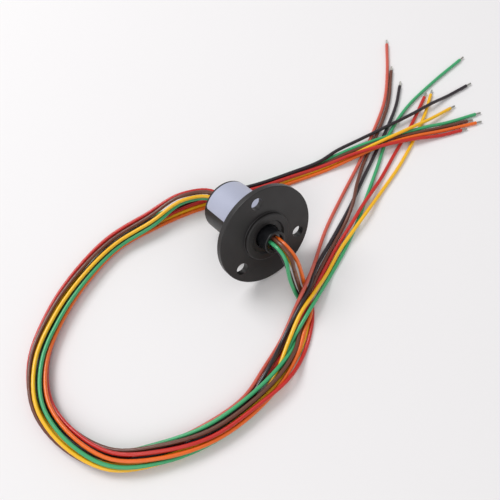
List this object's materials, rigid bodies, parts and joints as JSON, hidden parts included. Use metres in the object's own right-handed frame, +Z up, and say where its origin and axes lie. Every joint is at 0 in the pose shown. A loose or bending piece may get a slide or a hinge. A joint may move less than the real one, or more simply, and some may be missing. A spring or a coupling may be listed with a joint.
{
  "type": "slip ring",
  "caption": "Capsule slip ring: a black flanged housing with a rotor nose turning in it and a bundle of coloured leads from each end, laid in a loop.",
  "frame": {"origin": "centre of the mounting flange's rear face, on the rotor's axis", "axes": "+Z up from the resting surface, -Y towards the nose, which also points up by the angle at which the housing rests on its flange and rear rims; +X to the nose's left-hand side seen from the nose, across the flange"},
  "size_m": [0.15, 0.0654, 0.0235],
  "materials": {
    "black_plastic": "moulded black plastic with a satin sheen",
    "inner_plastic": "dark insulating plastic",
    "potting": "glossy black epoxy",
    "label": "silver-grey foil label, bare",
    "gold": "gold-plated contact metal",
    "steel": "ground bearing steel",
    "shaft": "dark plastic shaft",
    "tin": "tinned copper strands",
    "lead_orange": "smooth orange lead insulation",
    "lead_coral": "smooth coral lead insulation",
    "lead_black": "smooth black lead insulation",
    "lead_brown": "smooth brown lead insulation",
    "lead_yellow": "smooth yellow lead insulation",
    "lead_green": "smooth green lead insulation",
    "lead_red": "smooth red lead insulation"
  },
  "bodies": {
    "stator": {"stator_housing": "black_plastic", "rear_cap": "black_plastic", "rear_carrier": "inner_plastic", "label": "label", "brush_block_left": "inner_plastic", "brush_block_right": "inner_plastic", "brushes_left": "gold", "brushes_right": "gold", "front_bearing_outer": "steel", "rear_bearing_outer": "steel", "rear_potting": "potting", "stator_lead_orange": "lead_coral", "stator_lead_black": "lead_black", "stator_lead_brown": "lead_brown", "stator_lead_yellow": "lead_yellow", "stator_lead_green": "lead_green", "stator_lead_red": "lead_red", "rotor_lead_orange": "lead_orange", "rotor_lead_black": "lead_black", "rotor_lead_brown": "lead_brown", "rotor_lead_yellow": "lead_yellow", "rotor_lead_green": "lead_green", "rotor_lead_red": "lead_red", "stator_lead_tips": "tin", "rotor_lead_tips": "tin"},
    "rotor": {"rotor_shaft": "shaft", "ring_1": "gold", "ring_2": "gold", "ring_3": "gold", "ring_4": "gold", "ring_5": "gold", "ring_6": "gold", "barrier_1": "inner_plastic", "barrier_2": "inner_plastic", "barrier_3": "inner_plastic", "barrier_4": "inner_plastic", "barrier_5": "inner_plastic", "barrier_6": "inner_plastic", "barrier_7": "inner_plastic", "front_bearing_inner": "steel", "rear_bearing_inner": "steel", "rotor_nose": "black_plastic", "nose_potting": "potting", "retaining_clip": "steel", "rotor_lead_stubs": "lead_black"},
    "front_ball_set": {"front_bearing_balls": "steel", "front_bearing_cage": "gold"},
    "rear_ball_set": {"rear_bearing_balls": "steel", "rear_bearing_cage": "gold"}
  },
  "joints": [
    {"name": "rotor_spin", "type": "hinge", "parent": "stator", "child": "rotor", "pos_m": [0, 0, 0], "axis": [0, -0.9285, 0.3714], "continuous": true},
    {"name": "front_ball_set_spin", "type": "hinge", "parent": "stator", "child": "front_ball_set", "pos_m": [0, 0, 0], "axis": [0, -0.9285, 0.3714], "continuous": true},
    {"name": "rear_ball_set_spin", "type": "hinge", "parent": "stator", "child": "rear_ball_set", "pos_m": [0, 0, 0], "axis": [0, -0.9285, 0.3714], "continuous": true}
  ],
  "couplings": [
    {"joint": "front_ball_set_spin", "follows": "rotor_spin", "ratio": 0.41},
    {"joint": "rear_ball_set_spin", "follows": "rotor_spin", "ratio": 0.41}
  ]
}
